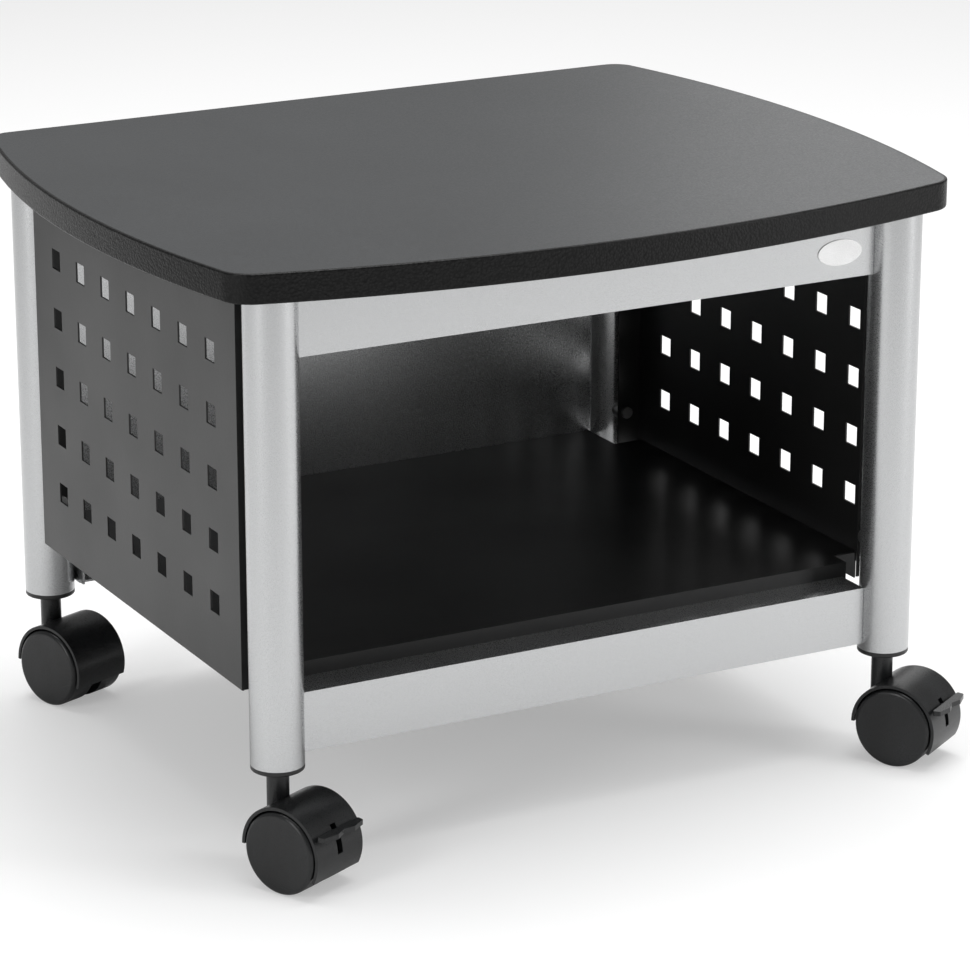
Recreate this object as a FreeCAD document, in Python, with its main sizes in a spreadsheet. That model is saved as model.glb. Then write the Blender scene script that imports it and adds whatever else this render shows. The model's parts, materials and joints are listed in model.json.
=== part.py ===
import FreeCAD, Part
import os
import re
import Sketcher

# A mobile printer stand: a bowed board on four round posts that stand on twin-wheel casters, with
# folded sheet-metal rails, perforated side panels, a back panel and a lower shelf.
# Millimetres.  +X is the stand's right, +Y its back, +Z up.  The origin is on the floor, under the
# middle of the board.

SIZES = {
    # whole stand
    "overall_width": 514.35,
    "overall_depth": 419.1,
    "overall_height": 368.3,
    # board
    "board_thickness": 17.5,
    "front_arc_radius": 880,
    "side_arc_radius": 785,
    "front_corner_radius": 22,
    "rear_corner_radius": 16,
    "edge_band_thickness": 2,
    "edge_round": 1.2,
    # posts and their bottom caps
    "post_side_inset": 48.875,
    "post_front_inset": 49.25,
    "post_rear_inset": 25.65,
    "post_diameter": 31.75,
    "post_wall": 1.5,
    "cap_lip": 3,
    "cap_plug_depth": 17,
    "cap_edge_round": 1,
    # rails
    "rail_sheet": 1.5,
    "top_rail_drop": 39.4,
    "bottom_rail_height": 36.5,
    "bottom_rail_lift": 4,
    "front_rail_depth": 24.3,
    "rear_rail_depth": 16,
    "rail_lip": 12,
    "rail_tab": 17,
    # side panels
    "panel_sheet": 1.2,
    "panel_outward": 11.5,
    "panel_flange": 17.5,
    "panel_post_gap": 6.5,
    "panel_bottom": 109.4,
    "panel_screw_low": 26.6,
    "panel_screw_high": 26,
    "hole_side": 12.7,
    "hole_pitch": 38.1,
    "hole_row_low": 42.8,
    # shelf
    "shelf_top": 120,
    "shelf_sheet": 1,
    "shelf_side_gap": 6.6,
    "shelf_flange": 17.6,
    "shelf_rear_flange": 7.8,
    "shelf_notch_inward": 13.3,
    "shelf_notch_depth": 16,
    # back panel
    "back_sheet": 1,
    "back_forward": 2.5,
    "back_lip": 12,
    "back_screw_setback": 6.2,
    # badge plate
    "badge_width": 31,
    "badge_height": 16,
    "badge_thickness": 0.6,
    "badge_inward": 24.6,
    "badge_drop": 22.8,
    # fasteners
    "bolt_radius": 3,
    "bolt_length": 9,
    "bolt_head_radius": 5,
    "bolt_head_height": 3.5,
    "bolt_setback": 7,
    "screw_radius": 2,
    "screw_head_radius": 4,
    "screw_head_height": 2.4,
    "panel_screw_length": 12,
    "board_screw_length": 13,
    "short_screw_length": 5,
    "spacer_radius": 6,
    "rail_screw_spread": 150,
    # casters
    "caster_height": 67.4,
    "wheel_radius": 25,
    "wheel_width": 18,
    "wheel_edge_round": 2.6,
    "wheel_tread_wall": 4,
    "wheel_hub_radius": 7,
    "wheel_hollow_depth": 13,
    "caster_trail": 17.5,
    "axle_radius": 3,
    "axle_reach": 19,
    "hood_gap": 1,
    "hood_wall": 2,
    "hood_width": 41.5,
    "hood_wrap_front": 208,
    "hood_wrap_rear": 198,
    "web_width": 8,
    "collar_radius": 6.65,
    "collar_gap": 2.4,
    "stem_radius": 4,
    "stem_top_radius": 5,
    "stem_socket_depth": 16,
    "stem_top_length": 20,
    # brake levers of the front casters
    "lever_arm_width": 4,
    "lever_arm_height": 5,
    "lever_pivot_out": 8,
    "lever_pivot_up": 6,
    "lever_pin_radius": 1.5,
    "lever_slot_height": 17,
    "lever_span": 38,
    "lever_thickness": 3,
    "lever_length": 7,
    "lever_notch": 2.5,
    "lever_level": 16,
    # how far each caster is turned at rest, degrees
    "turn_front_left": 25.6,
    "turn_front_right": 32,
    "turn_rear_left": 22,
    "turn_rear_right": 25,
    # clearances
    "running_fit": 0.05,
    "wheel_side_gap": 0.4,
    "small_gap": 0.3,
    "rail_end_gap": 0.1,
}

doc = FreeCAD.newDocument("printer_stand")
sheet = doc.addObject("Spreadsheet::Sheet", "dims")
for row, (alias, size) in enumerate(SIZES.items(), start=1):
    sheet.set("A%d" % row, str(size))
    sheet.setAlias("A%d" % row, alias)
doc.recompute()

# Derived places, written as formulas of the sheet's aliases.
POST_X = "(overall_width / 2 - post_side_inset)"
POST_FRONT_Y = "(post_front_inset - overall_depth / 2)"
POST_REAR_Y = "(overall_depth / 2 - post_rear_inset)"
POST_MIDDLE_Y = "((post_front_inset - post_rear_inset) / 2)"
POST_RADIUS = "(post_diameter / 2)"
BOARD_UNDER = "(overall_height - board_thickness)"
POST_BOTTOM = "(caster_height + cap_lip)"
RAIL_END = "(overall_width / 2 - post_side_inset - post_diameter / 2 - rail_end_gap)"
BOTTOM_RAIL_LOW = "(caster_height + cap_lip + bottom_rail_lift)"
BOTTOM_RAIL_TOP = "(caster_height + cap_lip + bottom_rail_lift + bottom_rail_height)"
TOP_RAIL_LOW = "(overall_height - board_thickness - top_rail_drop)"
RAIL_FRONT_Y = "(post_front_inset - overall_depth / 2 - 0.6 * rail_sheet)"
RAIL_REAR_Y = "(overall_depth / 2 - post_rear_inset + 0.6 * rail_sheet)"
PANEL_X = "(overall_width / 2 - post_side_inset + panel_outward)"
PANEL_FRONT_Y = "(post_front_inset - overall_depth / 2 + post_diameter / 2 + panel_post_gap)"
PANEL_REAR_Y = "(overall_depth / 2 - post_rear_inset - post_diameter / 2 - panel_post_gap)"
PANEL_TOP = "(overall_height - board_thickness - small_gap)"
BACK_Y = "(overall_depth / 2 - post_rear_inset - back_forward)"
SHELF_X = "(overall_width / 2 - post_side_inset + panel_outward - panel_sheet - shelf_side_gap)"
COLLAR_TOP = "(caster_height - collar_gap)"

WORD = re.compile(r"[a-z][a-z_]*[a-z]")
FUNCTIONS = {"sqrt", "sin", "cos", "abs"}
TO_X = FreeCAD.Rotation(FreeCAD.Vector(1, 1, 1), 120)
TURNS = {
    "+Z": FreeCAD.Rotation(),
    "-Z": FreeCAD.Rotation(FreeCAD.Vector(1, 0, 0), 180),
    "+X": FreeCAD.Rotation(FreeCAD.Vector(0, 1, 0), 90),
    "-X": FreeCAD.Rotation(FreeCAD.Vector(0, 1, 0), -90),
    "+Y": FreeCAD.Rotation(FreeCAD.Vector(1, 0, 0), -90),
    "-Y": FreeCAD.Rotation(FreeCAD.Vector(1, 0, 0), 90),
}
OPPOSITE = {"+Z": "-Z", "-Z": "+Z", "+X": "-X", "-X": "+X", "+Y": "-Y", "-Y": "+Y"}
pieces = {}


def expression(formula):
    """The formula with each alias written the way an expression needs it."""
    def add_sheet(match):
        word = match.group(0)
        return word if word in FUNCTIONS else "dims." + word
    return WORD.sub(add_sheet, str(formula))


def value(formula):
    """The formula's number."""
    return float(sheet.evalExpression(expression(formula)))


def bind(item, **formulas):
    for name, formula in formulas.items():
        item.setExpression(name, expression(formula))
    return item


def place(item, at, turn=None):
    """Sets the item's turn, then ties its position to three formulas."""
    item.Placement = FreeCAD.Placement(FreeCAD.Vector(), turn or FreeCAD.Rotation())
    for axis, formula in zip("xyz", at):
        item.setExpression("Placement.Base." + axis, expression(formula))
    return item


def piece(name, item):
    """Names the item as one finished sub-part."""
    item.Label = name
    pieces[name] = item
    return item


# ---- solids from primitives ----

def box(name, length, width, height, at):
    item = doc.addObject("Part::Box", name)
    bind(item, Length=length, Width=width, Height=height)
    return place(item, at)


def cylinder(name, radius, height, at, direction="+Z"):
    item = doc.addObject("Part::Cylinder", name)
    bind(item, Radius=radius, Height=height)
    return place(item, at, TURNS[direction])


def cross_cylinder(name, radius, length, at, wrap=360):
    """A cylinder along X, centred on its place, swept upwards from +Y through the wrap angle."""
    item = doc.addObject("Part::Cylinder", name)
    bind(item, Radius=radius, Height=length, Angle=wrap)
    middle = ("%s - (%s) / 2" % (at[0], length), at[1], at[2])
    return place(item, middle, TO_X)


def fuse(name, *shapes):
    item = doc.addObject("Part::MultiFuse", name)
    item.Shapes = list(shapes)
    return item


def group(name, shapes):
    item = doc.addObject("Part::Compound", name)
    item.Links = list(shapes)
    return item


def cut(name, base, *tools):
    tool = tools[0] if len(tools) == 1 else group(name + "_tools", tools)
    item = doc.addObject("Part::Cut", name)
    item.Base = base
    item.Tool = tool
    return item


# ---- bodies from sketches ----

def new_sketch(body, name, plane):
    sketch = body.newObject("Sketcher::SketchObject", name)
    support = [item for item in body.Origin.OriginFeatures if item.Role == plane]
    sketch.AttachmentSupport = (support[0], [""])
    sketch.MapMode = "FlatFace"
    return sketch


def tie(sketch, kind, parts, formula):
    """Adds a dimension to the sketch and ties it to the formula."""
    index = sketch.addConstraint(Sketcher.Constraint(kind, *parts, value(formula)))
    sketch.setExpression("Constraints[%d]" % index, expression(formula))


def tie_point(sketch, edge, end, x, y):
    tie(sketch, "DistanceX", (-1, 1, edge, end), x)
    tie(sketch, "DistanceY", (-1, 1, edge, end), y)


def draw_polygon(sketch, corners):
    """A closed outline of straight edges, each corner tied to two formulas."""
    spots = [FreeCAD.Vector(value(x), value(y), 0) for x, y in corners]
    edges = []
    for start, end in zip(spots, spots[1:] + spots[:1]):
        edges.append(sketch.addGeometry(Part.LineSegment(start, end), False))
    for edge, following in zip(edges, edges[1:] + edges[:1]):
        sketch.addConstraint(Sketcher.Constraint("Coincident", edge, 2, following, 1))
    for edge, (x, y) in zip(edges, corners):
        tie_point(sketch, edge, 1, x, y)


def draw_circle(sketch, radius):
    circle = Part.Circle(FreeCAD.Vector(), FreeCAD.Vector(0, 0, 1), value(radius))
    edge = sketch.addGeometry(circle, False)
    sketch.addConstraint(Sketcher.Constraint("Coincident", edge, 3, -1, 1))
    tie(sketch, "Radius", (edge,), radius)


def new_body(name):
    return doc.addObject("PartDesign::Body", name)


def pad(body, sketch, length, side="One side"):
    item = body.newObject("PartDesign::Pad", sketch.Name + "_pad")
    item.Profile = sketch
    item.SideType = side
    bind(item, Length=length)
    doc.recompute()
    return item


def pocket(body, sketch, length, side="Symmetric"):
    """Cuts the sketch out of the body, and checks that it took something away."""
    before = body.Shape.Volume
    item = body.newObject("PartDesign::Pocket", sketch.Name + "_pocket")
    item.Profile = sketch
    item.SideType = side
    bind(item, Length=length)
    doc.recompute()
    if not body.Shape.Volume < before:
        raise RuntimeError(sketch.Name + " cut nothing")
    return item


def round_edges(body, name, feature, radius, chosen):
    """Rounds the feature's edges that the chosen test picks."""
    names = ["Edge%d" % number for number, edge in enumerate(feature.Shape.Edges, start=1)
             if chosen(edge)]
    if not names:
        raise RuntimeError(name + " found no edges")
    item = body.newObject("PartDesign::Fillet", name)
    item.Base = (feature, names)
    bind(item, Radius=radius)
    doc.recompute()
    return item


def is_upright(edge):
    first, last = edge.Vertexes[0].Point, edge.Vertexes[-1].Point
    return abs(first.x - last.x) + abs(first.y - last.y) < 0.001 < abs(first.z - last.z)


def sheet_body(name, plane, corners, length, at, side="Symmetric"):
    """A body padded from one closed section, put in place."""
    body = new_body(name)
    sketch = new_sketch(body, name + "_section", plane)
    draw_polygon(sketch, corners)
    pad(body, sketch, length, side)
    place(body, at)
    return body


# ---- fasteners ----

def fastener(name, head_radius, head_height, shank_radius, shank_length, seat, direction):
    """A headed screw: the head's underside is on the seat and the shank runs in the direction."""
    head = cylinder(name + "_head", head_radius, head_height, seat, OPPOSITE[direction])
    shank = cylinder(name + "_shank", shank_radius, shank_length, seat, direction)
    return fuse(name, head, shank)


def fastener_hole(name, shank_radius, shank_length, seat, direction):
    """The clearance hole of a screw, from just under its head to just past its end."""
    reach = "%s + small_gap" % shank_length
    return cylinder(name, "%s + running_fit" % shank_radius, reach, seat, direction)


class FastenerSet:
    """Identical screws, and the holes that they need."""

    def __init__(self, name, head_radius, head_height, shank_radius, shank_length):
        self.name = name
        self.head = (head_radius, head_height)
        self.shank = (shank_radius, shank_length)
        self.screws = []
        self.spots = []

    def add(self, seat, direction):
        number = len(self.screws) + 1
        label = "%s_%d" % (self.name, number)
        self.screws.append(fastener(label, *self.head, *self.shank, seat, direction))
        self.spots.append((seat, direction))

    def holes(self, owner, wanted=lambda seat, direction: True):
        made = []
        for number, (seat, direction) in enumerate(self.spots, start=1):
            if wanted(seat, direction):
                label = "%s_%s_hole_%d" % (owner, self.name, number)
                made.append(fastener_hole(label, *self.shank, seat, direction))
        return made

    def finish(self):
        piece(self.name, group(self.name, self.screws))


def signed(sign, formula):
    return "%d * %s" % (sign, formula)


rail_bolts = FastenerSet("rail_bolts", "bolt_head_radius", "bolt_head_height",
                         "bolt_radius", "bolt_length")
panel_screws = FastenerSet("side_panel_screws", "screw_head_radius", "screw_head_height",
                           "screw_radius", "panel_screw_length")
board_screws = FastenerSet("board_screws", "screw_head_radius", "screw_head_height",
                           "screw_radius", "board_screw_length")
back_screws = FastenerSet("back_panel_screws", "screw_head_radius", "screw_head_height",
                          "screw_radius", "short_screw_length")
shelf_screws = FastenerSet("shelf_screws", "screw_head_radius", "screw_head_height",
                           "screw_radius", "short_screw_length")

FRONT, REAR = -1, 1
LEFT, RIGHT = -1, 1
SIDES = {LEFT: "left", RIGHT: "right"}
ENDS = {FRONT: "front", REAR: "rear"}
POST_Y = {FRONT: POST_FRONT_Y, REAR: POST_REAR_Y}
RAIL_WEB_Y = {FRONT: RAIL_FRONT_Y, REAR: RAIL_REAR_Y}
PANEL_END_Y = {FRONT: PANEL_FRONT_Y, REAR: PANEL_REAR_Y}
SCREW_LEVELS = ("(panel_bottom + panel_screw_low)",
                "(overall_height - board_thickness - panel_screw_high)")
BOLT_LEVELS = ("(caster_height + cap_lip + bottom_rail_lift + bottom_rail_height / 2)",
               "(overall_height - board_thickness - top_rail_drop / 2)")


def plan_fasteners():
    """Sets where every screw and bolt goes, before the pieces that they pass through."""
    for end in (FRONT, REAR):
        inward = "+Y" if end == REAR else "-Y"
        bolt_y = "(%s - %d * (rail_sheet + bolt_setback))" % (RAIL_WEB_Y[end], end)
        screw_y = "(%s - %d * panel_sheet)" % (PANEL_END_Y[end], end)
        for side in (LEFT, RIGHT):
            for level in BOLT_LEVELS:
                seat = (signed(side, "(%s - rail_sheet)" % RAIL_END), bolt_y, level)
                rail_bolts.add(seat, "+X" if side == RIGHT else "-X")
            for level in SCREW_LEVELS:
                panel_screws.add((signed(side, POST_X), screw_y, level), inward)
    for across in (-1, 0, 1):
        x = "(%d * rail_screw_spread)" % across
        front_y = "(%s + front_rail_depth / 2)" % RAIL_FRONT_Y
        rear_y = "(%s - rear_rail_depth / 2)" % RAIL_REAR_Y
        under_flange = "(%s - rail_sheet)" % BOARD_UNDER
        board_screws.add((x, front_y, under_flange), "+Z")
        board_screws.add((x, rear_y, under_flange), "+Z")
        lip_y = "(%s - back_screw_setback)" % BACK_Y
        back_screws.add((x, lip_y, "(%s + back_sheet)" % BOTTOM_RAIL_TOP), "-Z")
        back_screws.add((x, lip_y, "(%s - back_sheet)" % TOP_RAIL_LOW), "+Z")
        shelf_y = "(%s + front_rail_depth + shelf_sheet)" % RAIL_FRONT_Y
        shelf_z = "(%s - rail_lip / 2)" % BOTTOM_RAIL_TOP
        shelf_screws.add((x, shelf_y, shelf_z), "-Y")


# ---- board ----

def draw_board_outline(sketch, inset):
    """Three bowed edges and a straight back edge, moved inwards by the inset."""
    half_width = value("overall_width / 2 - %s" % inset)
    half_depth = value("overall_depth / 2 - %s" % inset)
    front_radius = value("front_arc_radius - %s" % inset)
    side_radius = value("side_arc_radius - %s" % inset)
    front_centre = FreeCAD.Vector(0, front_radius - half_depth, 0)
    side_shift = side_radius - half_width
    slope = half_depth / side_radius
    rear_x = side_radius * (1 - slope ** 2) ** 0.5 - side_shift
    gap = FreeCAD.Vector(side_shift, front_centre.y, 0)
    along = (front_radius ** 2 - side_radius ** 2 + gap.Length ** 2) / (2 * gap.Length)
    across = (front_radius ** 2 - along ** 2) ** 0.5
    toward = FreeCAD.Vector(-side_shift, -front_centre.y, 0).normalize()
    corner = front_centre + toward * along + FreeCAD.Vector(-toward.y, toward.x, 0) * across
    front_right = FreeCAD.Vector(abs(corner.x), corner.y, 0)
    front_left = FreeCAD.Vector(-front_right.x, front_right.y, 0)
    rear_right = FreeCAD.Vector(rear_x, half_depth, 0)
    rear_left = FreeCAD.Vector(-rear_x, half_depth, 0)
    arcs = [
        (front_left, FreeCAD.Vector(0, -half_depth, 0), front_right),
        (front_right, FreeCAD.Vector(half_width, 0, 0), rear_right),
        (rear_left, FreeCAD.Vector(-half_width, 0, 0), front_left),
    ]
    front, right, left = [sketch.addGeometry(Part.Arc(*spots), False) for spots in arcs]
    back = sketch.addGeometry(Part.LineSegment(rear_right, rear_left), False)
    join = Sketcher.Constraint
    sketch.addConstraint([
        join("Coincident", front, 2, right, 1),
        join("Coincident", right, 2, back, 1),
        join("Coincident", back, 2, left, 1),
        join("Coincident", left, 2, front, 1),
        join("Horizontal", back),
        join("PointOnObject", front, 3, -2),
        join("PointOnObject", right, 3, -1),
        join("PointOnObject", left, 3, -1),
    ])
    tie(sketch, "Radius", (front,), "front_arc_radius - %s" % inset)
    tie(sketch, "Radius", (right,), "side_arc_radius - %s" % inset)
    tie(sketch, "Radius", (left,), "side_arc_radius - %s" % inset)
    tie(sketch, "DistanceY", (-1, 1, front, 3), "front_arc_radius - overall_depth / 2")
    tie(sketch, "DistanceX", (-1, 1, right, 3), "overall_width / 2 - side_arc_radius")
    tie(sketch, "DistanceX", (-1, 1, left, 3), "side_arc_radius - overall_width / 2")
    tie(sketch, "DistanceY", (-1, 1, back, 1), "overall_depth / 2 - %s" % inset)


def board_slab(name, inset):
    body = new_body(name)
    sketch = new_sketch(body, name + "_outline", "XY_Plane")
    draw_board_outline(sketch, inset)
    slab = pad(body, sketch, "board_thickness")
    slab = round_edges(body, name + "_front_corners", slab, "front_corner_radius - %s" % inset,
                       lambda edge: is_upright(edge) and edge.CenterOfMass.y < 0)
    slab = round_edges(body, name + "_rear_corners", slab, "rear_corner_radius - %s" % inset,
                       lambda edge: is_upright(edge) and edge.CenterOfMass.y > 0)
    place(body, ("0", "0", BOARD_UNDER))
    return body, slab


def build_board():
    core, _ = board_slab("board_core", "edge_band_thickness")
    whole, slab = board_slab("board_whole", "0")
    for level in (0, value("board_thickness")):
        slab = round_edges(whole, "edge_round_%d" % round(level), slab, "edge_round",
                           lambda edge: abs(edge.BoundBox.ZMin - level) < 0.001
                           and edge.BoundBox.ZLength < 0.001)
    piece("edge_band", cut("edge_band", whole, core))
    holes = board_screws.holes("top_board")
    piece("top_board", cut("top_board", core, *holes))


# ---- posts ----

def build_posts():
    for end in (FRONT, REAR):
        for side in (LEFT, RIGHT):
            name = "%s_%s" % (ENDS[end], SIDES[side])
            tube = new_body("tube_" + name)
            sketch = new_sketch(tube, "tube_%s_section" % name, "XY_Plane")
            draw_circle(sketch, POST_RADIUS)
            draw_circle(sketch, "%s - post_wall" % POST_RADIUS)
            pad(tube, sketch, "%s - %s" % (BOARD_UNDER, POST_BOTTOM))
            place(tube, (signed(side, POST_X), POST_Y[end], POST_BOTTOM))
            here = lambda seat, direction: (
                value(seat[0]) * side > 0 and value(seat[1]) * end > 0)
            holes = rail_bolts.holes("post_" + name, here)
            holes += panel_screws.holes("post_" + name, here)
            piece("post_" + name, cut("post_" + name, tube, *holes))
            build_cap(name, (signed(side, POST_X), POST_Y[end], "caster_height"))


def build_cap(name, at):
    """The plastic cap that closes the tube's end and grips the caster's stem."""
    body = new_body("cap_" + name)
    lip = new_sketch(body, "cap_%s_lip" % name, "XY_Plane")
    draw_circle(lip, POST_RADIUS)
    disc = pad(body, lip, "cap_lip")
    disc = round_edges(body, "cap_%s_round" % name, disc, "cap_edge_round",
                       lambda edge: edge.BoundBox.ZMax < 0.001)
    plug = new_sketch(body, "cap_%s_plug" % name, "XY_Plane")
    draw_circle(plug, "%s - post_wall - running_fit" % POST_RADIUS)
    pad(body, plug, "cap_lip + cap_plug_depth")
    bore = new_sketch(body, "cap_%s_bore" % name, "XY_Plane")
    draw_circle(bore, "stem_top_radius + running_fit")
    pocket(body, bore, "2 * (stem_top_length + small_gap)")
    place(body, at)
    piece("post_cap_" + name, body)


# ---- rails ----

def rail_body(name, end, low, height, depth, has_lip):
    """A rail's section: a web, two flanges and, on the bottom front rail, a lip turned down."""
    inward = -end
    far = "%d * (%s)" % (inward, depth)
    near = "%d * rail_sheet" % inward
    if has_lip:
        lip_inner = "%d * (%s - rail_sheet)" % (inward, depth)
        top = [(far, height), (far, "%s - rail_lip" % height),
               (lip_inner, "%s - rail_lip" % height), (lip_inner, "%s - rail_sheet" % height)]
    else:
        top = [(far, height), (far, "%s - rail_sheet" % height)]
    bottom = [(near, "rail_sheet"), ("%d * rail_lip" % inward, "rail_sheet"),
              ("%d * rail_lip" % inward, "0"), ("0", "0")]
    corners = [("0", height)] + top + [(near, "%s - rail_sheet" % height)] + bottom
    return sheet_body(name + "_folded", "YZ_Plane", corners, "2 * %s" % RAIL_END,
                      ("0", RAIL_WEB_Y[end], low))


def build_rail(name, end, low, height, depth, has_lip, screw_sets):
    folded = rail_body(name, end, low, height, depth, has_lip)
    parts = [folded]
    tab_low = "(%s + rail_sheet / 2)" % low
    tab_height = "(%s - rail_sheet)" % height
    if end == FRONT:
        tab_y = "(%s + rail_sheet / 2)" % RAIL_WEB_Y[end]
    else:
        tab_y = "(%s - rail_sheet / 2 - rail_tab)" % RAIL_WEB_Y[end]
    for side in (LEFT, RIGHT):
        tab_x = "-%s" % RAIL_END if side == LEFT else "(%s - rail_sheet)" % RAIL_END
        parts.append(box("%s_tab_%s" % (name, SIDES[side]), "rail_sheet", "rail_tab",
                         tab_height, (tab_x, tab_y, tab_low)))
    near = lambda seat, direction: (
        value(seat[1]) * end > 0 and value(low) < value(seat[2]) < value("%s + %s" % (low, height)))
    holes = rail_bolts.holes(name, near)
    for screws in screw_sets:
        holes += screws.holes(name, lambda seat, direction: value(seat[1]) * end > 0
                              and abs(value(seat[2]) - value(low)) < value("overall_height / 8"))
    return cut(name, fuse(name + "_joined", *parts), *holes)


def build_rails():
    top = (TOP_RAIL_LOW, "top_rail_drop")
    bottom = (BOTTOM_RAIL_LOW, "bottom_rail_height")
    piece("front_top_rail", build_rail("front_top_rail", FRONT, *top, "front_rail_depth",
                                       False, [board_screws]))
    piece("rear_top_rail", build_rail("rear_top_rail", REAR, *top, "rear_rail_depth",
                                      False, [board_screws, back_screws]))
    piece("front_bottom_rail", build_rail("front_bottom_rail", FRONT, *bottom,
                                          "front_rail_depth", True, [shelf_screws]))
    piece("rear_bottom_rail", build_rail("rear_bottom_rail", REAR, *bottom, "rear_rail_depth",
                                         False, [back_screws]))


# ---- side panels ----

def build_side_panels():
    for side in (LEFT, RIGHT):
        name = "side_panel_" + SIDES[side]
        outer = signed(side, PANEL_X)
        web = signed(side, "(%s - panel_sheet)" % PANEL_X)
        edge = signed(side, "(%s - panel_flange)" % PANEL_X)
        front_inner = "(%s + panel_sheet)" % PANEL_FRONT_Y
        rear_inner = "(%s - panel_sheet)" % PANEL_REAR_Y
        corners = [(outer, PANEL_FRONT_Y), (outer, PANEL_REAR_Y), (edge, PANEL_REAR_Y),
                   (edge, rear_inner), (web, rear_inner), (web, front_inner),
                   (edge, front_inner), (edge, PANEL_FRONT_Y)]
        folded = sheet_body(name + "_folded", "XY_Plane", corners,
                            "%s - panel_bottom" % PANEL_TOP, ("0", "0", "panel_bottom"),
                            "One side")
        pierce_panel(folded, name)
        holes = panel_screws.holes(name, lambda seat, direction: value(seat[0]) * side > 0)
        piece(name, cut(name, folded, *holes))


def pierce_panel(body, name):
    """Square holes in seven columns and five rows, centred between the posts."""
    sketch = new_sketch(body, name + "_hole", "YZ_Plane")
    low_y = "(%s - 3 * hole_pitch - hole_side / 2)" % POST_MIDDLE_Y
    low_z = "(hole_row_low - hole_side / 2)"
    high_y = "(%s + hole_side)" % low_y
    high_z = "(%s + hole_side)" % low_z
    draw_polygon(sketch, [(low_y, low_z), (high_y, low_z), (high_y, high_z), (low_y, high_z)])
    first = pocket(body, sketch, "2 * overall_width")
    pattern = body.newObject("PartDesign::LinearPattern", name + "_holes")
    pattern.Originals = [first]
    pattern.Direction = (sketch, ["H_Axis"])
    pattern.Mode = "Spacing"
    pattern.Occurrences = 7
    pattern.Direction2 = (sketch, ["V_Axis"])
    pattern.Mode2 = "Spacing"
    pattern.Occurrences2 = 5
    pattern.Spacings2 = [-1.0] * (pattern.Occurrences2 - 1)
    bind(pattern, Offset="hole_pitch", Offset2="hole_pitch")
    body.Tip = pattern
    doc.recompute()


def build_spacers():
    """Sleeves between the panels' flanges and the posts, one on each panel screw."""
    sleeves = []
    for number, (seat, direction) in enumerate(panel_screws.spots, start=1):
        end = FRONT if direction == "-Y" else REAR
        start = (seat[0], PANEL_END_Y[end], seat[2])
        length = "panel_post_gap + spacer_radius / 4"
        sleeve = cylinder("sleeve_%d" % number, "spacer_radius", length, start, direction)
        bore = cylinder("sleeve_bore_%d" % number, "screw_radius + running_fit",
                        "3 * panel_post_gap", start, direction)
        side_post = cylinder("sleeve_post_%d" % number, POST_RADIUS,
                             "overall_height", (seat[0], POST_Y[end], "0"))
        sleeves.append(cut("spacer_%d" % number, sleeve, bore, side_post))
    piece("side_panel_spacers", group("side_panel_spacers", sleeves))


# ---- shelf and back panel ----

def build_shelf():
    front_y = "(%s + front_rail_depth)" % RAIL_FRONT_Y
    rear_y = "(%s - small_gap)" % BACK_Y
    notch_x = "(%s - shelf_notch_inward)" % POST_X
    rear_notch_x = "(%s - rail_sheet)" % RAIL_END
    front_notch_y = "(%s + shelf_notch_depth)" % PANEL_FRONT_Y
    rear_notch_y = "(%s - shelf_notch_depth)" % PANEL_REAR_Y
    body = new_body("shelf_folded")
    outer = new_sketch(body, "shelf_outline", "XY_Plane")
    draw_polygon(outer, [
        ("-" + notch_x, front_y), (notch_x, front_y), (notch_x, front_notch_y),
        (SHELF_X, front_notch_y), (SHELF_X, rear_notch_y), (rear_notch_x, rear_notch_y),
        (rear_notch_x, rear_y), ("-" + rear_notch_x, rear_y),
        ("-" + rear_notch_x, rear_notch_y), ("-" + SHELF_X, rear_notch_y),
        ("-" + SHELF_X, front_notch_y), ("-" + notch_x, front_notch_y)])
    pad(body, outer, "shelf_sheet")
    place(body, ("0", "0", "shelf_top - shelf_sheet"))
    side_length = "(%s - %s)" % (rear_notch_y, front_notch_y)
    low = "(shelf_top - shelf_flange)"
    flanges = [
        box("shelf_front_flange", "2 * %s" % notch_x, "shelf_sheet", "shelf_flange",
            ("-" + notch_x, front_y, low)),
        box("shelf_rear_flange", "2 * %s" % rear_notch_x, "shelf_sheet", "shelf_rear_flange",
            ("-" + rear_notch_x, "%s - shelf_sheet" % rear_y, "shelf_top - shelf_rear_flange")),
        box("shelf_left_flange", "shelf_sheet", side_length, "shelf_flange",
            ("-" + SHELF_X, front_notch_y, low)),
        box("shelf_right_flange", "shelf_sheet", side_length, "shelf_flange",
            ("%s - shelf_sheet" % SHELF_X, front_notch_y, low)),
    ]
    tray = fuse("shelf_joined", body, *flanges)
    piece("shelf_tray", cut("shelf_tray", tray, *shelf_screws.holes("shelf_tray")))


def build_back_panel():
    low = BOTTOM_RAIL_TOP
    height = "(%s - %s)" % (TOP_RAIL_LOW, BOTTOM_RAIL_TOP)
    corners = [("back_sheet", "0"), ("back_sheet", height), ("-back_lip", height),
               ("-back_lip", "%s - back_sheet" % height), ("0", "%s - back_sheet" % height),
               ("0", "back_sheet"), ("-back_lip", "back_sheet"), ("-back_lip", "0")]
    folded = sheet_body("back_panel_folded", "YZ_Plane", corners, "2 * %s" % RAIL_END,
                        ("0", BACK_Y, low))
    piece("back_panel", cut("back_panel", folded, *back_screws.holes("back_panel")))


def build_badge():
    """A plain oval plate on the top rail's face."""
    oval = doc.addObject("Part::Ellipse", "badge_oval")
    bind(oval, MajorRadius="badge_width / 2", MinorRadius="badge_height / 2")
    plate = doc.addObject("Part::Extrusion", "badge_solid")
    plate.Base = oval
    plate.DirMode = "Normal"
    plate.Solid = True
    bind(plate, LengthFwd="badge_thickness")
    place(plate, ("%s - badge_inward" % RAIL_END, RAIL_FRONT_Y, "%s - badge_drop" % BOARD_UNDER),
          TURNS["-Y"])
    piece("badge_plate", plate)


# ---- casters ----

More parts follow.
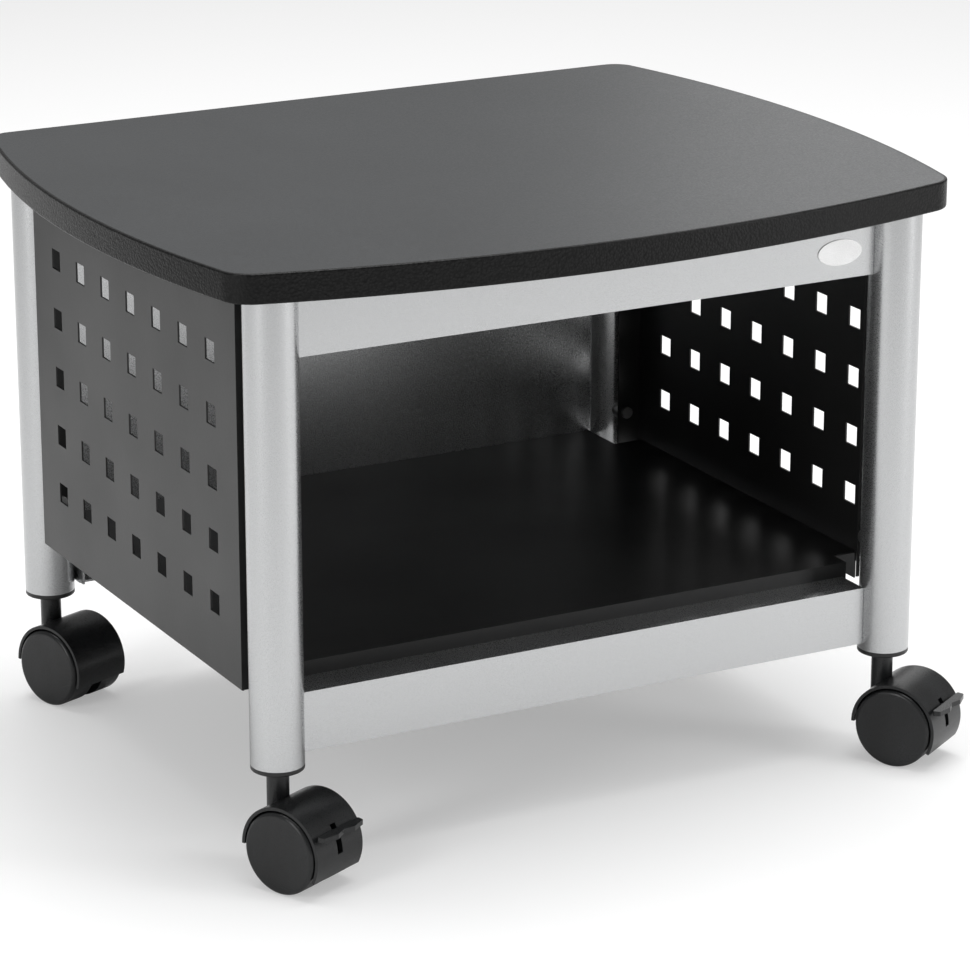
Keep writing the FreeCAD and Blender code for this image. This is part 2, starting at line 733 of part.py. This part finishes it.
CASTERS = {
    "front_left": (LEFT, FRONT),
    "front_right": (RIGHT, FRONT),
    "rear_left": (LEFT, REAR),
    "rear_right": (RIGHT, REAR),
}
AXLE_AT = ("0", "-caster_trail", "wheel_radius")
HOOD_INNER = "(wheel_radius + hood_gap)"
HOOD_OUTER = "(wheel_radius + hood_gap + hood_wall)"
PIVOT_Y = "(-caster_trail - lever_pivot_out)"
PIVOT_Z = "(wheel_radius + lever_pivot_up)"
WHEEL_START = "(web_width / 2 + wheel_side_gap)"


def stand_in_place(name, item):
    """Moves a caster piece from the caster's own frame to its corner, turned about its stem."""
    side, end = CASTERS[name]
    holder = doc.addObject("Part::Compound", item.Name + "_placed")
    holder.Links = [item]
    holder.Placement = FreeCAD.Placement(
        FreeCAD.Vector(), FreeCAD.Rotation(FreeCAD.Vector(0, 0, 1), 1))
    holder.setExpression("Placement.Rotation.Angle", expression("turn_" + name))
    holder.setExpression("Placement.Base.x", expression(signed(side, POST_X)))
    holder.setExpression("Placement.Base.y", expression(POST_Y[end]))
    return holder


def build_hood(name, has_lever):
    """The cover over both wheels, with the web between them and the collar on the stem."""
    tag = "hood_" + name
    wrap = "hood_wrap_front" if has_lever else "hood_wrap_rear"
    dome = cross_cylinder(tag + "_dome", HOOD_OUTER, "hood_width", AXLE_AT, wrap)
    collar = cylinder(tag + "_collar", "collar_radius", "%s - wheel_radius" % COLLAR_TOP,
                      ("0", "0", "wheel_radius"))
    inside = cross_cylinder(tag + "_inside", HOOD_INNER, "hood_width + 2 * hood_wall", AXLE_AT)
    shell = cut(tag + "_shell", fuse(tag + "_outside", dome, collar), inside)
    web = cross_cylinder(tag + "_web", "%s + hood_wall / 2" % HOOD_INNER, "web_width", AXLE_AT, wrap)
    boss = cross_cylinder(tag + "_boss", "wheel_hub_radius", "web_width", AXLE_AT)
    solid = fuse(tag + "_solid", shell, web, boss)
    tools = [
        cylinder(tag + "_socket", "stem_radius + running_fit", "stem_socket_depth",
                 ("0", "0", "%s - stem_socket_depth" % COLLAR_TOP)),
        cross_cylinder(tag + "_axle_bore", "axle_radius + running_fit", "2 * web_width", AXLE_AT),
    ]
    if has_lever:
        slot_length = "(%s - lever_pivot_out + lever_arm_height)" % HOOD_OUTER
        slot_y = "(%s - 1 - caster_trail)" % ("-" + HOOD_OUTER)
        slot_width = "(lever_arm_width + 2 * small_gap)"
        tools.append(box(tag + "_slot", slot_width, slot_length, "lever_slot_height",
                         ("-%s / 2" % slot_width, slot_y, "wheel_radius + small_gap")))
        tools.append(cross_cylinder(tag + "_pin_bore", "lever_pin_radius + running_fit",
                                    "2 * web_width", ("0", PIVOT_Y, PIVOT_Z)))
    piece("caster_hood_" + name, stand_in_place(name, cut(tag, solid, *tools)))


def build_stem(name):
    """The steel stem: its top is gripped by the post's cap, and the collar turns on its foot."""
    foot = cylinder("stem_%s_foot" % name, "stem_radius",
                    "stem_socket_depth + collar_gap - small_gap",
                    ("0", "0", "%s - stem_socket_depth + small_gap" % COLLAR_TOP))
    top = cylinder("stem_%s_top" % name, "stem_top_radius", "stem_top_length",
                   ("0", "0", "caster_height"))
    stem = fuse("stem_" + name, foot, top)
    piece("caster_stem_" + name, stand_in_place(name, stem))


def build_axle(name):
    axle = cross_cylinder("axle_" + name, "axle_radius", "2 * axle_reach", AXLE_AT)
    piece("caster_axle_" + name, stand_in_place(name, axle))


def build_wheel(name, side):
    """A moulded wheel: rounded tread and face, hub with a blind bore, hollow towards the web."""
    label = "caster_wheel_%s_%s" % (name, SIDES[side])
    body = new_body(label + "_turned")
    sketch = new_sketch(body, label + "_section", "XY_Plane")
    bore = "(axle_radius + running_fit)"
    bore_end = "(axle_reach - %s + small_gap)" % WHEEL_START
    rim_inner = "(wheel_radius - wheel_tread_wall)"
    section = [
        ("0", bore), ("0", "wheel_hub_radius"), ("wheel_hollow_depth", "wheel_hub_radius"),
        ("wheel_hollow_depth", rim_inner), ("0", rim_inner), ("0", "wheel_radius"),
        ("wheel_width", "wheel_radius"), ("wheel_width", "0"), (bore_end, "0"), (bore_end, bore),
    ]
    draw_polygon(sketch, section)
    turned = body.newObject("PartDesign::Revolution", label + "_revolved")
    turned.Profile = sketch
    turned.ReferenceAxis = (sketch, ["H_Axis"])
    turned.Angle = 360
    doc.recompute()
    outer = value("wheel_width")
    reach = value("wheel_radius")
    round_edges(body, label + "_round", turned, "wheel_edge_round",
                lambda edge: edge.BoundBox.XMin > outer - 0.001
                and edge.BoundBox.ZMax > reach - 0.001)
    turn = FreeCAD.Rotation() if side == RIGHT else FreeCAD.Rotation(FreeCAD.Vector(0, 0, 1), 180)
    place(body, (signed(side, WHEEL_START), AXLE_AT[1], AXLE_AT[2]), turn)
    piece(label, stand_in_place(name, body))


def build_lever(name):
    """The brake lever: a winged paddle on an arm that reaches through the hood to its pin."""
    low_face = "(lever_level - lever_thickness)"
    surface = "sqrt(%s ^ 2 - %s ^ 2)" % (HOOD_OUTER, low_face)
    paddle_y = "(-caster_trail - %s - 4 * small_gap)" % surface
    tip_y = "(%s - lever_length)" % paddle_y
    half = "lever_span / 2"
    body = new_body("lever_%s_paddle" % name)
    plan = new_sketch(body, "lever_%s_plan" % name, "XY_Plane")
    wing_y = "(%s + lever_length / 3)" % tip_y
    notch_y = "(%s + lever_notch)" % tip_y
    draw_polygon(plan, [
        ("-" + half, paddle_y), ("-%s + 1" % half, wing_y), ("-lever_span / 5", tip_y),
        ("0", notch_y), ("lever_span / 5", tip_y), ("%s - 1" % half, wing_y), (half, paddle_y)])
    blade = pad(body, plan, "lever_thickness")
    round_edges(body, "lever_%s_round" % name, blade, "lever_thickness / 3",
                lambda edge: is_upright(edge))
    place(body, ("0", "0", "wheel_radius + lever_level - lever_thickness"))
    arm_body = new_body("lever_%s_arm" % name)
    arm = new_sketch(arm_body, "lever_%s_arm_side" % name, "YZ_Plane")
    arm_top = "(wheel_radius + lever_level - lever_thickness / 4)"
    draw_polygon(arm, [
        ("%s - lever_length / 4" % paddle_y, arm_top),
        ("%s - lever_length / 4" % paddle_y, "%s - lever_arm_height" % arm_top),
        (PIVOT_Y, "%s - lever_arm_height / 2" % PIVOT_Z),
        (PIVOT_Y, "%s + lever_arm_height / 2" % PIVOT_Z)])
    pad(arm_body, arm, "lever_arm_width", "Symmetric")
    eye = cross_cylinder("lever_%s_eye" % name, "lever_arm_height / 2", "lever_arm_width",
                         ("0", PIVOT_Y, PIVOT_Z))
    bore = cross_cylinder("lever_%s_bore" % name, "lever_pin_radius + running_fit", "web_width",
                          ("0", PIVOT_Y, PIVOT_Z))
    lever = cut("lever_" + name, fuse("lever_%s_joined" % name, body, arm_body, eye), bore)
    piece("brake_lever_" + name, stand_in_place(name, lever))
    pin = cross_cylinder("lever_pin_%s_rod" % name, "lever_pin_radius", "web_width - small_gap",
                         ("0", PIVOT_Y, PIVOT_Z))
    piece("brake_pin_" + name, stand_in_place(name, pin))


def build_casters():
    for name, (side, end) in CASTERS.items():
        has_lever = end == FRONT
        build_stem(name)
        build_hood(name, has_lever)
        build_axle(name)
        build_wheel(name, LEFT)
        build_wheel(name, RIGHT)
        if has_lever:
            build_lever(name)


# ---- checks and files ----

def check_document():
    doc.recompute()
    for item in doc.Objects:
        if "Invalid" in item.State or "Error" in item.State:
            raise RuntimeError("%s failed: %s" % (item.Name, item.State))
    for name, item in pieces.items():
        if item.Shape.isNull() or not item.Shape.isValid() or not item.Shape.Solids:
            raise RuntimeError(name + " has no valid shape")


def write_parts():
    os.makedirs("parts", exist_ok=True)
    for name, item in pieces.items():
        item.Shape.exportStep("parts/%s.step" % name)


plan_fasteners()
build_board()
build_posts()
build_rails()
build_side_panels()
build_spacers()
build_shelf()
build_back_panel()
build_badge()
build_casters()
for fasteners in (rail_bolts, panel_screws, board_screws, back_screws, shelf_screws):
    fasteners.finish()
check_document()
write_parts()
for name, item in sorted(pieces.items()):
    print(name, len(item.Shape.Solids), round(item.Shape.Volume, 1))
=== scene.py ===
import bpy
import json
import math
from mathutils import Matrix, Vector


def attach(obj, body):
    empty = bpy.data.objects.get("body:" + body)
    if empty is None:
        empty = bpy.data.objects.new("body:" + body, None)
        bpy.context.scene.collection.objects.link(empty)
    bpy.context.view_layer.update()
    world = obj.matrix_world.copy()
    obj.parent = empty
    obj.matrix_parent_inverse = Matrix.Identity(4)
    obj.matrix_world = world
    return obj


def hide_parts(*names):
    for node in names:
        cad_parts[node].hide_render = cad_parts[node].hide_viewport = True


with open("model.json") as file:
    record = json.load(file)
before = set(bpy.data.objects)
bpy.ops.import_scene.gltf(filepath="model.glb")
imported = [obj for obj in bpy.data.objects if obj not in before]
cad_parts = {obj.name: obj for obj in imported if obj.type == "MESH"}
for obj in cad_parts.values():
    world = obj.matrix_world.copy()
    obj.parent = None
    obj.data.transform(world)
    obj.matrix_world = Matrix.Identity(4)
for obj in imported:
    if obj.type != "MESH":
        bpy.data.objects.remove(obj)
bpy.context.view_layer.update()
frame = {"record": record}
RECORD = frame["record"]
BODY_OF = {node: body for body, nodes in RECORD["behaviour"]["bodies"].items() for node in nodes}
SLOT_OF = {part["node"]: part["material_slot"] for part in RECORD["subparts"]}
FRONT_CORNERS = ("front_left", "front_right")
CORNERS = FRONT_CORNERS + ("rear_left", "rear_right")
MM = 0.001

# The rounding of each kind of edge
RAIL_ROUND = 0.65 * MM
SHEET_ROUND = 0.45 * MM
LEVER_ROUND = 0.6 * MM
PART_ROUND = 0.3 * MM
SMALL_ROUND = 0.2 * MM

# Merging and joining of a CAD node's triangles
MERGE_GAP = 0.002 * MM
FLAT_ANGLE = math.radians(0.2)
BEVEL_ANGLE = math.radians(38)
SMOOTH_ANGLE = math.radians(32)

FLOOR_SIZE = 9
FLOOR_GLOW = 0.34
ROOM_LEVEL = 0.38


# ---- shader maths ----

class Level:
    """One shader value.  Python's own operators on it add Math nodes."""

    def __init__(self, finish, socket):
        self.finish = finish
        self.socket = socket

    def reckon(self, operation, other, swapped=False):
        pair = (other, self) if swapped else (self, other)
        return self.finish.node("ShaderNodeMath", {"operation": operation}, {0: pair[0], 1: pair[1]})

    def __add__(self, other):
        return self.reckon("ADD", other)

    def __radd__(self, other):
        return self.reckon("ADD", other, True)

    def __mul__(self, other):
        return self.reckon("MULTIPLY", other)

    def __rmul__(self, other):
        return self.reckon("MULTIPLY", other, True)


class Finish:
    """A material: a Principled shader and the nodes that feed it."""

    def __init__(self, name, **constants):
        self.material = bpy.data.materials.new(name)
        self.material.use_nodes = True
        self.tree = self.material.node_tree
        self.shader = self.tree.nodes["Principled BSDF"]
        for socket, number in constants.items():
            self.shader.inputs[socket.replace("_", " ")].default_value = number
        self.place = self.node("ShaderNodeTexCoord", {}, {}, "Object")

    def node(self, kind, settings, inputs, output=0):
        """Adds a node: its settings first, then its sockets, as numbers or links."""
        made = self.tree.nodes.new(kind)
        for name, setting in settings.items():
            setattr(made, name, setting)
        for name, source in inputs.items():
            self.join(source, made.inputs[name])
        return Level(self, made.outputs[output])

    def join(self, source, socket):
        if isinstance(source, Level):
            self.tree.links.new(source.socket, socket)
        else:
            socket.default_value = source

    def feed(self, name, source):
        self.join(source, self.shader.inputs[name])

    def noise(self, scale, detail=2.0, roughness=0.5, place=None):
        inputs = {"Vector": place or self.place, "Scale": scale, "Detail": detail,
                  "Roughness": roughness}
        return self.node("ShaderNodeTexNoise", {}, inputs, "Fac")

    def cells(self, scale):
        inputs = {"Vector": self.place, "Scale": scale}
        return self.node("ShaderNodeTexVoronoi", {}, inputs, "Distance")

    def stretched(self, x, y, z):
        return self.node("ShaderNodeMapping", {}, {"Vector": self.place, "Scale": (x, y, z)})

    def between(self, low, high, source, low_value=0.0, high_value=1.0):
        inputs = {"Value": source, "From Min": low, "From Max": high,
                  "To Min": low_value, "To Max": high_value}
        return self.node("ShaderNodeMapRange", {}, inputs)

    def blend(self, factor, first, second):
        made = self.tree.nodes.new("ShaderNodeMix")
        made.data_type = "RGBA"
        self.join(factor, made.inputs["Factor"])
        self.join(first, made.inputs[6])
        self.join(second, made.inputs[7])
        return Level(self, made.outputs[2])

    def bump(self, height, strength, distance, under=None):
        inputs = {"Height": height, "Strength": strength, "Distance": distance}
        if under is not None:
            inputs["Normal"] = under
        return self.node("ShaderNodeBump", {}, inputs)


def grey(level, warmth=0.0):
    return (level * (1 + warmth), level, level * (1 - warmth), 1.0)


# ---- finishes ----

def laminate():
    """Dark grey laminate with a fine mottled texture."""
    finish = Finish("laminate_board", Specular_IOR_Level=0.5)
    fleck = finish.noise(900, 3)
    cloud = finish.noise(9, 4, 0.6)
    grain = finish.noise(1700, 2)
    tone = finish.between(0.36, 0.64, fleck)
    base = finish.blend(tone, grey(0.016, -0.06), grey(0.031, -0.08))
    finish.feed("Base Color", finish.blend(finish.between(0.3, 0.7, cloud, 0, 0.35), base,
                                           grey(0.038, -0.06)))
    finish.feed("Roughness", finish.between(0.35, 0.65, fleck, 0.30, 0.40))
    finish.feed("Normal", finish.bump(grain + fleck * 0.8, 0.16, 0.4 * MM))
    return finish.material


def edge_moulding():
    """Black edge band with a pebbled surface that glints."""
    finish = Finish("edge_plastic", Specular_IOR_Level=0.16)
    pebble = finish.cells(620)
    grain = finish.noise(1400, 2)
    tone = finish.between(0.2, 0.7, pebble)
    finish.feed("Base Color", finish.blend(tone, grey(0.007), grey(0.002)))
    finish.feed("Roughness", finish.between(0.3, 0.7, grain, 0.28, 0.44))
    finish.feed("Normal", finish.bump(pebble * -1.0 + grain * 0.5, 0.40, 0.5 * MM))
    return finish.material


def silver_paint():
    """Silver powder coat: fine flakes over an even metallic ground."""
    finish = Finish("silver_paint")
    flake = finish.noise(2600, 2)
    cloud = finish.noise(14, 3)
    tone = finish.between(0.35, 0.65, flake)
    base = finish.blend(tone, grey(0.43, -0.01), grey(0.49, -0.01))
    finish.feed("Base Color", finish.blend(finish.between(0.3, 0.7, cloud, 0, 0.3), base,
                                           grey(0.45, -0.01)))
    finish.feed("Metallic", finish.between(0.3, 0.7, cloud, 0.90, 0.94))
    finish.feed("Roughness", finish.between(0.35, 0.65, flake, 0.24, 0.31))
    finish.feed("Normal", finish.bump(flake, 0.015, 0.1 * MM))
    return finish.material


def black_paint():
    """Black satin powder coat with a slight orange peel."""
    finish = Finish("black_paint", Specular_IOR_Level=0.27)
    peel = finish.noise(420, 2)
    grain = finish.noise(2400, 1)
    cloud = finish.noise(11, 3)
    finish.feed("Base Color", finish.blend(finish.between(0.35, 0.65, grain), grey(0.009),
                                           grey(0.014)))
    finish.feed("Roughness", finish.between(0.3, 0.7, cloud, 0.33, 0.40))
    finish.feed("Normal", finish.bump(peel + grain * 0.4, 0.07, 0.3 * MM))
    return finish.material


def moulded_plastic(name, dark, light, low_gloss, high_gloss):
    """Black moulded plastic with a fine spark-eroded grain and faint flow marks."""
    finish = Finish(name, Specular_IOR_Level=0.36)
    grain = finish.noise(1900, 2)
    flow = finish.noise(60, 3, 0.6, finish.stretched(1, 1, 0.25))
    finish.feed("Base Color", finish.blend(finish.between(0.35, 0.65, flow), dark, light))
    finish.feed("Roughness", finish.between(0.35, 0.65, grain, low_gloss, high_gloss))
    finish.feed("Normal", finish.bump(grain + flow * 0.3, 0.10, 0.2 * MM))
    return finish.material


def bare_steel(name, tone, low_gloss, high_gloss):
    """Turned or plated steel with fine marks round it."""
    finish = Finish(name, Metallic=1.0)
    marks = finish.noise(700, 3, 0.6, finish.stretched(0.3, 0.3, 3))
    cloud = finish.noise(90, 2)
    finish.feed("Base Color", finish.blend(finish.between(0.3, 0.7, cloud), grey(tone * 0.88),
                                           grey(tone)))
    finish.feed("Roughness", finish.between(0.3, 0.7, marks, low_gloss, high_gloss))
    finish.feed("Normal", finish.bump(marks, 0.06, 0.1 * MM))
    return finish.material


def badge_film():
    """Pale silver film of the blank oval plate."""
    finish = Finish("badge_plastic", Metallic=0.35)
    grain = finish.noise(2200, 2)
    cloud = finish.noise(80, 2)
    finish.feed("Base Color", finish.blend(finish.between(0.3, 0.7, cloud), grey(0.72), grey(0.80)))
    finish.feed("Roughness", finish.between(0.3, 0.7, grain, 0.22, 0.32))
    finish.feed("Normal", finish.bump(grain, 0.04, 0.1 * MM))
    return finish.material


FINISHES = {
    "laminate_board": laminate(),
    "edge_plastic": edge_moulding(),
    "silver_paint": silver_paint(),
    "black_paint": black_paint(),
    "black_plastic": moulded_plastic("black_plastic", grey(0.010), grey(0.016), 0.34, 0.44),
    "caster_plastic": moulded_plastic("caster_plastic", grey(0.007, -0.04), grey(0.011, -0.06),
                                      0.26, 0.36),
    "zinc_steel": bare_steel("zinc_steel", 0.42, 0.26, 0.40),
    "badge_plastic": badge_film(),
    "chrome_steel": bare_steel("chrome_steel", 0.78, 0.05, 0.12),
}


def paint(piece, slot):
    """Gives the piece one finish."""
    piece.data.materials.clear()
    piece.data.materials.append(FINISHES[slot])


# ---- modelling helpers ----

def only(piece):
    bpy.ops.object.select_all(action="DESELECT")
    piece.select_set(True)
    bpy.context.view_layer.objects.active = piece


def apply(piece, kind, **settings):
    """Adds a modifier and applies it."""
    only(piece)
    modifier = piece.modifiers.new(kind.lower(), kind)
    for name, setting in settings.items():
        setattr(modifier, name, setting)
    bpy.ops.object.modifier_apply(modifier=modifier.name)


def refined(node, edge, segments=2):
    """A copy of a CAD node with its flats joined up and its edges rounded."""
    source = bpy.data.objects[node]
    piece = bpy.data.objects.new(node + "_finished", source.data.copy())
    bpy.context.scene.collection.objects.link(piece)
    only(piece)
    bpy.ops.object.mode_set(mode="EDIT")
    bpy.ops.mesh.select_all(action="SELECT")
    bpy.ops.mesh.remove_doubles(threshold=MERGE_GAP)
    bpy.ops.mesh.dissolve_limited(angle_limit=FLAT_ANGLE)
    bpy.ops.object.mode_set(mode="OBJECT")
    if edge:
        apply(piece, "BEVEL", width=edge, segments=segments, limit_method="ANGLE",
              angle_limit=BEVEL_ANGLE, use_clamp_overlap=True)
    only(piece)
    bpy.ops.object.shade_smooth_by_angle(angle=SMOOTH_ANGLE)
    apply(piece, "WEIGHTED_NORMAL", mode="FACE_AREA", weight=100, keep_sharp=True)
    paint(piece, SLOT_OF[node])
    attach(piece, BODY_OF[node])
    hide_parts(node)
    return piece


# ---- frame pieces ----

SHEETS = ("front_top_rail", "rear_top_rail", "front_bottom_rail", "rear_bottom_rail",
          "side_panel_left", "side_panel_right", "shelf_tray", "back_panel")
for sheet_node in SHEETS:
    refined(sheet_node, RAIL_ROUND if sheet_node.endswith("rail") else SHEET_ROUND, 3)
for corner in CORNERS:
    refined("post_" + corner, PART_ROUND)
    refined("post_cap_" + corner, PART_ROUND)
    refined("caster_stem_" + corner, PART_ROUND)
    refined("caster_hood_" + corner, SHEET_ROUND)
    refined("caster_axle_" + corner, PART_ROUND)
for corner in FRONT_CORNERS:
    refined("brake_lever_" + corner, LEVER_ROUND, 3)
    refined("brake_pin_" + corner, SMALL_ROUND)
for small_node in ("side_panel_spacers", "side_panel_screws", "rail_bolts", "board_screws",
                   "back_panel_screws", "shelf_screws", "badge_plate"):
    refined(small_node, SMALL_ROUND)
refined("top_board", 0)
refined("edge_band", 0)


# ---- wheels ----

for corner in CORNERS:
    for side in ("left", "right"):
        refined("caster_wheel_%s_%s" % (corner, side), PART_ROUND)


# ---- floor, lights and camera ----

def stage_finish(name, lift):
    """White floor: a share of it glows for the camera, and the rest takes the shadow."""
    material = bpy.data.materials.new(name)
    material.use_nodes = True
    nodes, links = material.node_tree.nodes, material.node_tree.links
    nodes.clear()
    out = nodes.new("ShaderNodeOutputMaterial")
    matt = nodes.new("ShaderNodeBsdfDiffuse")
    matt.inputs["Color"].default_value = (0.95, 0.95, 0.95, 1)
    glow = nodes.new("ShaderNodeEmission")
    glow.inputs["Color"].default_value = (1, 1, 1, 1)
    glow.inputs["Strength"].default_value = 1.0
    path = nodes.new("ShaderNodeLightPath")
    share = nodes.new("ShaderNodeMath")
    share.operation = "MULTIPLY"
    share.inputs[1].default_value = lift
    mix = nodes.new("ShaderNodeMixShader")
    links.new(path.outputs["Is Camera Ray"], share.inputs[0])
    links.new(share.outputs[0], mix.inputs[0])
    links.new(matt.outputs[0], mix.inputs[1])
    links.new(glow.outputs[0], mix.inputs[2])
    links.new(mix.outputs[0], out.inputs["Surface"])
    return material


def build_floor():
    bpy.ops.object.select_all(action="DESELECT")
    bpy.ops.mesh.primitive_plane_add(size=FLOOR_SIZE, location=(0, 0, 0))
    floor = bpy.context.object
    floor.name = "studio_floor"
    floor.data.materials.append(stage_finish("studio_floor_paint", FLOOR_GLOW))


def build_world():
    world = bpy.data.worlds.new("studio_air")
    bpy.context.scene.world = world
    world.use_nodes = True
    nodes, links = world.node_tree.nodes, world.node_tree.links
    nodes.clear()
    out = nodes.new("ShaderNodeOutputWorld")
    room = nodes.new("ShaderNodeBackground")
    room.inputs["Color"].default_value = (1, 1, 1, 1)
    room.inputs["Strength"].default_value = ROOM_LEVEL
    seen = nodes.new("ShaderNodeBackground")
    seen.inputs["Color"].default_value = (1, 1, 1, 1)
    seen.inputs["Strength"].default_value = 1.0
    path = nodes.new("ShaderNodeLightPath")
    mix = nodes.new("ShaderNodeMixShader")
    links.new(path.outputs["Is Camera Ray"], mix.inputs[0])
    links.new(room.outputs[0], mix.inputs[1])
    links.new(seen.outputs[0], mix.inputs[2])
    links.new(mix.outputs[0], out.inputs["Surface"])


def soft_box(name, place, aim, size, power):
    lamp = bpy.data.lights.new(name, "AREA")
    lamp.shape = "RECTANGLE"
    lamp.size, lamp.size_y = size
    lamp.energy = power
    light = bpy.data.objects.new(name, lamp)
    bpy.context.scene.collection.objects.link(light)
    light.location = place
    light.rotation_euler = (Vector(aim) - Vector(place)).to_track_quat("-Z", "Y").to_euler()


def build_lights():
    middle = (0, 0, 0.2)
    soft_box("overhead_box", (0.3, 0.2, 2.6), middle, (2.4, 1.8), 74)
    soft_box("left_box", (-2.4, -0.9, 1.1), middle, (0.5, 1.6), 20)
    soft_box("right_box", (1.9, -2.0, 1.0), middle, (0.7, 1.8), 24)
    soft_box("rear_box", (2.3, 2.5, 1.4), (0.1, 0.1, 0.36), (1.2, 0.8), 4)


CAMERA_TURN, CAMERA_RISE = math.radians(-28.13), math.radians(17.96)
CAMERA_AWAY = 2.5
CAMERA_LENS = 149.2
CAMERA_SENSOR = 36
CAMERA_AIM = Vector((0.0006, -0.0233, 0.1674))


def build_camera():
    back = Vector((math.sin(CAMERA_TURN) * math.cos(CAMERA_RISE),
                   -math.cos(CAMERA_TURN) * math.cos(CAMERA_RISE), math.sin(CAMERA_RISE)))
    data = bpy.data.cameras.new("studio_camera")
    data.lens = CAMERA_LENS
    data.sensor_width = CAMERA_SENSOR
    camera = bpy.data.objects.new("studio_camera", data)
    bpy.context.scene.collection.objects.link(camera)
    camera.location = CAMERA_AIM + back * CAMERA_AWAY
    camera.rotation_mode = "QUATERNION"
    camera.rotation_quaternion = (-back).to_track_quat("-Z", "Y")
    bpy.context.scene.camera = camera


build_floor()
build_world()
build_lights()
build_camera()
bpy.context.scene.view_settings.view_transform = "Standard"
